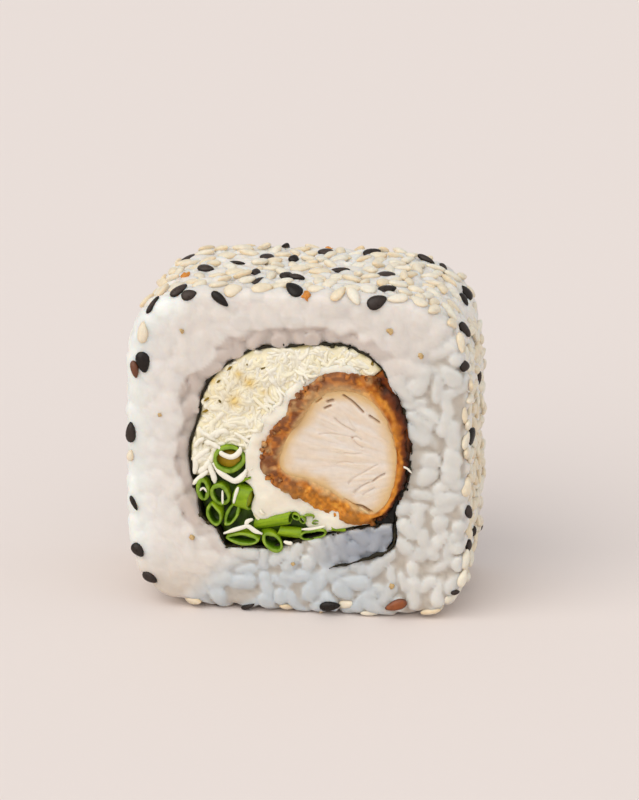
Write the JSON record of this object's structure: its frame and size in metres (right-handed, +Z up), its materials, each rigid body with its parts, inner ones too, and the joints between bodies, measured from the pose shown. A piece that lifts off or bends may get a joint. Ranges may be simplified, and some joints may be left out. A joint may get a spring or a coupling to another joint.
{
  "type": "uramaki roll",
  "caption": "Cut piece of inside-out sushi: a rounded square of rice coated in sesame, round a nori spiral with breaded chicken, soft and grated cheese and chopped chives.",
  "frame": {"origin": "under the middle of the flat spot that the roll rests on", "axes": "+Z up, +Y along the roll's axis from the shown cut face to the far one, +X to the right as seen on the shown face"},
  "size_m": [0.0508, 0.0266, 0.0494],
  "materials": {
    "rice": "moist cooked rice, slightly translucent, with white, black and toasted sesame on the outside",
    "nori": "moist dark green seaweed sheet",
    "chicken": "browned breaded crust round pale fibrous meat",
    "cream_cheese": "soft satin cream",
    "grated_cheese": "fine soft shreds",
    "chives": "fresh green, satin"
  },
  "bodies": {
    "root": {"rice": "rice", "nori": "nori", "chicken": "chicken", "cream_cheese": "cream_cheese", "grated_cheese": "grated_cheese", "chives": "chives"}
  },
  "joints": []
}
